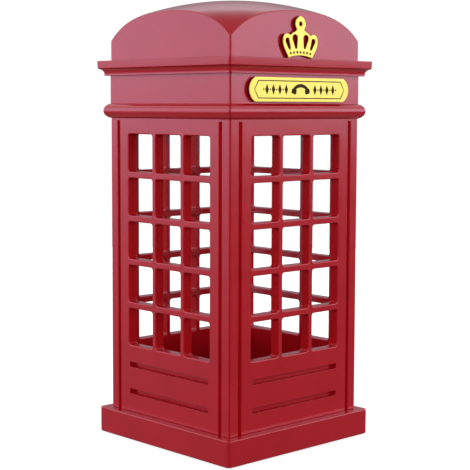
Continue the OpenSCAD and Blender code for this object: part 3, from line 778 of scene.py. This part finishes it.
def crown():
    """The crown badge: body in the red darkened as painted shade, gold face cut through between its ribs,
    sunk beads.
    """
    holes = [moved(circle(1.2), 0, 17.4)]
    for s in (-1, 1):
        holes.append(drop((s * 4, 10), 2, (s * 3.2, 5.5), 0.8))
        holes.append(drop((s * 9.6, 8.7), 1.45, (s * 7.9, 4.9), 0.8))
    base = sides_top + crown_lift
    outlines = placed([crown_outline()] + holes, badge_x, base)
    body = drawing("crown_body", outlines, -half, badge_t, 0.12 * MM)
    finish_piece(body, badge_red, ["crown_badge"])
    smooth(body, 40)
    face = drawing("crown_gold", outlines, -half - badge_t, face_t, 0.2 * MM)
    front = -half - badge_t - face_t
    beads = [moved(circle(0.7, 20), i * 2.4, 3 - i * i * 0.06) for i in range(-3, 4)]
    bead_outlines = placed(beads, badge_x, base)
    cutter = drawing("cutter", bead_outlines, front + engrave_d, engrave_d + MM, 0)
    cut(face, [cutter])
    finish_piece(face, gold, ["crown_face"])
    smooth(face, 40)
    inlay = drawing("crown_inlay", bead_outlines, front + engrave_d, inlay_t, 0)
    finish_piece(inlay, engraved)


crown()


def sign_outline():
    """A plate with straight long sides and bowed ends, in millimetres."""
    w, h, r = sign_w / MM, sign_h / MM, sign_end_r / MM
    turn = math.degrees(math.asin(h / 2 / r))
    return (arc(w / 2 - r, 0, r, -turn, turn, 16)
            + arc(r - w / 2, 0, r, 180 - turn, 180 + turn, 16))


def hexagon(inset):
    """A long hexagon that keeps a distance from the sign's edge, in millimetres."""
    tip = sign_w / MM / 2 - 1.6 - inset
    shoulder = sign_w / MM / 2 - 4.4 - inset
    h = sign_h / MM / 2 - inset
    return [(-tip, 0), (-shoulder, -h), (shoulder, -h), (tip, 0), (shoulder, h), (-shoulder, h)]


def handset():
    """A bowed handle, 11.2 mm wide, and its two cups, in millimetres."""
    low, outer_r, inner_r, reach = -5, 8, 6.2, 5.6
    outer_turn = math.degrees(math.asin(reach / outer_r))
    inner_turn = math.degrees(math.acos(-low / inner_r))
    handle = arc(0, low, outer_r, 90 - outer_turn, 90 + outer_turn, 16)
    handle += [(-reach, 0)]
    handle += arc(0, low, inner_r, 90 + inner_turn, 90 - inner_turn, 12)
    handle += [(reach, 0)]
    cups = [moved(round_rect(3.6, 2.6, 0.6, 3), s * 4.9, -0.9, s * 14) for s in (-1, 1)]
    return [handle], cups


def sign():
    """The sign: body in the red darkened as painted shade, gold face, and an engraved border, handset,
    lozenges and dots.
    """
    outline = placed([sign_outline()], badge_x, sign_z)
    back = -half - frieze_out
    body = drawing("sign_body", outline, back, badge_t, 0.12 * MM)
    finish_piece(body, badge_red, ["sign_plaque"])
    smooth(body, 40)
    face = drawing("sign_gold", outline, back - badge_t, face_t, 0.2 * MM)
    front = back - badge_t - face_t
    handle, cups = handset()
    marks = []
    for s in (-1, 1):
        for i in range(4):
            x = s * (10.6 + 4.6 * i)
            marks.append([(x - 1.3, 0), (x, -2.8), (x + 1.3, 0), (x, 2.8)])
            marks.append(moved(circle(0.5, 16), x + s * 2.3, 0))
    groups = [[hexagon(1.6), hexagon(2.1)], handle, cups, marks]
    for i, group in enumerate(groups):
        cutter = drawing("cutter", placed(group, badge_x, sign_z), front + engrave_d, engrave_d + MM, 0)
        cut(face, [cutter])
        inlay = drawing(f"sign_inlay_{i + 1}", placed(group, badge_x, sign_z), front + engrave_d, inlay_t, 0)
        finish_piece(inlay, engraved)
    finish_piece(face, gold, ["sign_face"])
    smooth(face, 40)


sign()


# ---------- switch knob ----------

def knob():
    """The slide switch's knob: a softly edged pad with three grip grooves, on its stem."""
    low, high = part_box("switch_knob")
    pad_t = 1 * MM
    centre_x = (low.x + high.x) / 2
    centre_z = (low.z + high.z) / 2
    w = high.x - low.x
    h = high.z - low.z
    rings = []
    for inset, depth in ((0, pad_t), (0, 0.3), (0.06, 0.12), (0.18, 0.03), (0.35, 0)):
        y = high.y - (depth if depth == pad_t else depth * MM)
        plan = round_rect(w - 2 * inset * MM, h - 2 * inset * MM, (0.6 - inset) * MM)
        rings.append([(centre_x + x, y, centre_z + z) for x, z in plan])
    pad = make_object("knob_pad", rings_mesh(rings))
    left = [(-0.35 * MM, high.y + MM), (-0.35 * MM, high.y - 0.1 * MM), (-0.2 * MM, high.y - 0.4 * MM)]
    groove = left + [(-x, y) for x, y in left[::-1]]
    for i in range(-1, 2):
        groove_x = centre_x + i * 1.4 * MM
        rings = [[(groove_x + x, y, centre_z + side * h) for x, y in groove] for side in (-1, 1)]
        cut(pad, [make_object("cutter", rings_mesh(rings))])
    finish_piece(pad, black, ["switch_knob"], "switch_slider")
    smooth(pad)
    stem_w, stem_h = 2.4 * MM, 1.8 * MM
    rings = [[(centre_x + x, y, centre_z + z) for x, z in round_rect(stem_w, stem_h, 0.3 * MM, 3)]
             for y in (low.y, high.y - pad_t)]
    stem = make_object("knob_stem", rings_mesh(rings))
    finish_piece(stem, black, (), "switch_slider")
    smooth(stem)


knob()


# ---------- carried-over nodes ----------

for node_name, material in NODE_MATERIALS.items():
    node = NODES[node_name]
    node.data.materials.clear()
    node.data.materials.append(material)


# ---------- stage, light and camera ----------

def stage_floor():
    """A plain pale floor, which gives the object little light of its own."""
    bm = bmesh.new()
    reach = 6
    corners = [bm.verts.new((x * reach, y * reach, 0)) for x, y in ((-1, -1), (1, -1), (1, 1), (-1, 1))]
    bm.faces.new(corners)
    floor = make_object("floor", bm)
    material = bpy.data.materials.new("floor")
    material.use_nodes = True
    tree = material.node_tree

    def mix(factor, first, second):
        node = tree.nodes.new("ShaderNodeMixShader")
        if isinstance(factor, float):
            node.inputs["Fac"].default_value = factor
        else:
            tree.links.new(factor, node.inputs["Fac"])
        tree.links.new(first, node.inputs[1])
        tree.links.new(second, node.inputs[2])
        return node.outputs["Shader"]

    paint = tree.nodes["Principled BSDF"]
    paint.inputs["Base Color"].default_value = (0.9, 0.9, 0.9, 1)
    paint.inputs["Roughness"].default_value = 0.9
    glow = tree.nodes.new("ShaderNodeEmission")
    glow.inputs["Strength"].default_value = 1.36
    dim = tree.nodes.new("ShaderNodeBsdfDiffuse")
    dim.inputs["Color"].default_value = (0.16, 0.16, 0.16, 1)
    clear = tree.nodes.new("ShaderNodeBsdfTransparent")
    path = tree.nodes.new("ShaderNodeLightPath")
    seen = mix(0.62, paint.outputs["BSDF"], glow.outputs["Emission"])
    unseen = mix(path.outputs["Is Glossy Ray"], dim.outputs["BSDF"], clear.outputs["BSDF"])
    both = mix(path.outputs["Is Camera Ray"], unseen, seen)
    tree.links.new(both, tree.nodes["Material Output"].inputs["Surface"])
    floor.data.materials.append(material)


# Brightness of the studio by height above the horizon: (sine of the elevation, level)
ROOM_LEVELS = [(-1, 0.3), (-0.6, 0.3), (-0.35, 0.2), (-0.03, 0.2), (0.02, 0.33), (0.3, 0.36), (0.58, 1.3),
               (0.78, 1.0), (0.96, 0.55)]
LEFT_CARD_LEVELS = [(-0.35, 0), (-0.17, 0.24), (-0.04, 0.76), (0.0, 2.0), (0.3, 1.7), (0.5, 0)]
RIGHT_CARD_LEVELS = [(-0.04, 0.04), (-0.008, 1.1), (0.008, 3.1), (0.3, 2.7), (0.5, 0)]
CARD_BEARING = (-0.6857, 0.7279, 0)
# Levels are divided by this in the colour ramps, which hold at most 1, and multiplied by it again after them
TOP_LEVEL = 4.2
# Lights round the object: name, azimuth and power
SOFTBOXES = [("front_left", -45, 3.4), ("front_right", 45, 3.8), ("back_right", 135, 3.1),
             ("back_left", 225, 4.2)]


def studio_world():
    """A white backdrop for the camera. Round the object, a dim room with a big white card on two sides."""
    world = bpy.data.worlds.new("studio")
    bpy.context.scene.world = world
    world.use_nodes = True
    tree = world.node_tree
    tree.nodes.clear()

    def node(kind, **values):
        made = tree.nodes.new(kind)
        for key, value in values.items():
            setattr(made, key, value)
        return made

    def feed(source, target):
        tree.links.new(source, target)

    direction = node("ShaderNodeTexCoord").outputs["Generated"]
    split = node("ShaderNodeSeparateXYZ")
    feed(direction, split.inputs["Vector"])
    lowest = -1
    rise = node("ShaderNodeMapRange")
    rise.inputs["From Min"].default_value = lowest
    feed(split.outputs["Z"], rise.inputs["Value"])
    side = node("ShaderNodeVectorMath", operation="DOT_PRODUCT")
    side.inputs[1].default_value = CARD_BEARING
    feed(direction, side.inputs[0])

    def levels(stops, tint):
        ramp = node("ShaderNodeValToRGB")
        elements = ramp.color_ramp.elements
        while len(elements) < len(stops):
            elements.new(0.5)
        for element, (z, level) in zip(elements, stops):
            element.position = (z - lowest) / (1 - lowest)
            element.color = (*[level * t / TOP_LEVEL for t in tint], 1)
        feed(rise.outputs["Result"], ramp.inputs["Fac"])
        return ramp.outputs["Color"]

    def card(sign, stops, tint):
        reach = node("ShaderNodeMapRange", interpolation_type="SMOOTHSTEP")
        reach.inputs["From Min"].default_value = sign * 0.45
        reach.inputs["From Max"].default_value = sign * 0.85
        feed(side.outputs["Value"], reach.inputs["Value"])
        scale = node("ShaderNodeVectorMath", operation="SCALE")
        feed(levels(stops, tint), scale.inputs[0])
        feed(reach.outputs["Result"], scale.inputs["Scale"])
        return scale.outputs["Vector"]

    total = levels(ROOM_LEVELS, (1, 1, 1.12))
    for part in (card(1, LEFT_CARD_LEVELS, (0.86, 1, 1.4)), card(-1, RIGHT_CARD_LEVELS, (0.95, 1, 1.3))):
        add = node("ShaderNodeVectorMath", operation="ADD")
        feed(total, add.inputs[0])
        feed(part, add.inputs[1])
        total = add.outputs["Vector"]
    mirrored = node("ShaderNodeBackground")
    mirrored.inputs["Strength"].default_value = TOP_LEVEL
    feed(total, mirrored.inputs["Color"])
    fill = node("ShaderNodeBackground")
    fill.inputs["Color"].default_value = (1, 1, 1, 1)
    fill.inputs["Strength"].default_value = 0.45
    backdrop = node("ShaderNodeBackground")
    backdrop.inputs["Color"].default_value = (1, 1, 1, 1)
    backdrop.inputs["Strength"].default_value = 1.05
    path = node("ShaderNodeLightPath")
    shown = fill
    for ray, other in (("Is Glossy Ray", mirrored), ("Is Camera Ray", backdrop)):
        choice = node("ShaderNodeMixShader")
        feed(path.outputs[ray], choice.inputs["Fac"])
        feed(shown.outputs[0], choice.inputs[1])
        feed(other.outputs[0], choice.inputs[2])
        shown = choice
    feed(shown.outputs[0], node("ShaderNodeOutputWorld").inputs["Surface"])


def softbox(name, azimuth, power, elevation=9, distance=0.9, size=0.6):
    """A square light that points at the middle of the object. Azimuth 0 is the front, 90 the right side."""
    data = bpy.data.lights.new(name, "AREA")
    data.size = size
    data.energy = power
    box = bpy.data.objects.new(name, data)
    bpy.context.scene.collection.objects.link(box)
    a, e = math.radians(azimuth), math.radians(elevation)
    back = Vector((math.sin(a) * math.cos(e), -math.cos(a) * math.cos(e), math.sin(e)))
    middle = Vector((0, 0, dome_top / 2))
    box.location = middle + back * distance
    box.rotation_mode = "QUATERNION"
    box.rotation_quaternion = back.to_track_quat("Z", "Y")
    box.visible_camera = False
    box.visible_glossy = False


def photo_camera():
    """The camera: a long lens at the height of the band, looking slightly down."""
    data = bpy.data.cameras.new("camera")
    camera = bpy.data.objects.new("camera", data)
    bpy.context.scene.collection.objects.link(camera)
    bpy.context.scene.camera = camera
    bearing = math.radians(43.312)
    tilt = math.radians(5.284)
    roll = math.radians(0.173)
    level = math.cos(tilt)
    forward = Vector((math.sin(bearing) * level, math.cos(bearing) * level, -math.sin(tilt)))
    right = forward.cross(Vector((0, 0, 1))).normalized()
    up = right.cross(forward)
    rolled_right = math.cos(roll) * right + math.sin(roll) * up
    rolled_up = math.cos(roll) * up - math.sin(roll) * right
    axes = Matrix((rolled_right, rolled_up, -forward)).transposed()
    camera.matrix_world = Matrix.Translation((-478.03 * MM, -505.8 * MM, 180.31 * MM)) @ axes.to_4x4()
    data.sensor_width = 36
    data.lens = 97.93
    data.shift_x = 0.0061
    data.shift_y = -0.0213
    data.clip_start = 0.01
    data.clip_end = 50


stage_floor()
studio_world()
for softbox_name, softbox_azimuth, softbox_power in SOFTBOXES:
    softbox(softbox_name, softbox_azimuth, softbox_power)
photo_camera()
bpy.context.scene.view_settings.view_transform = "Standard"
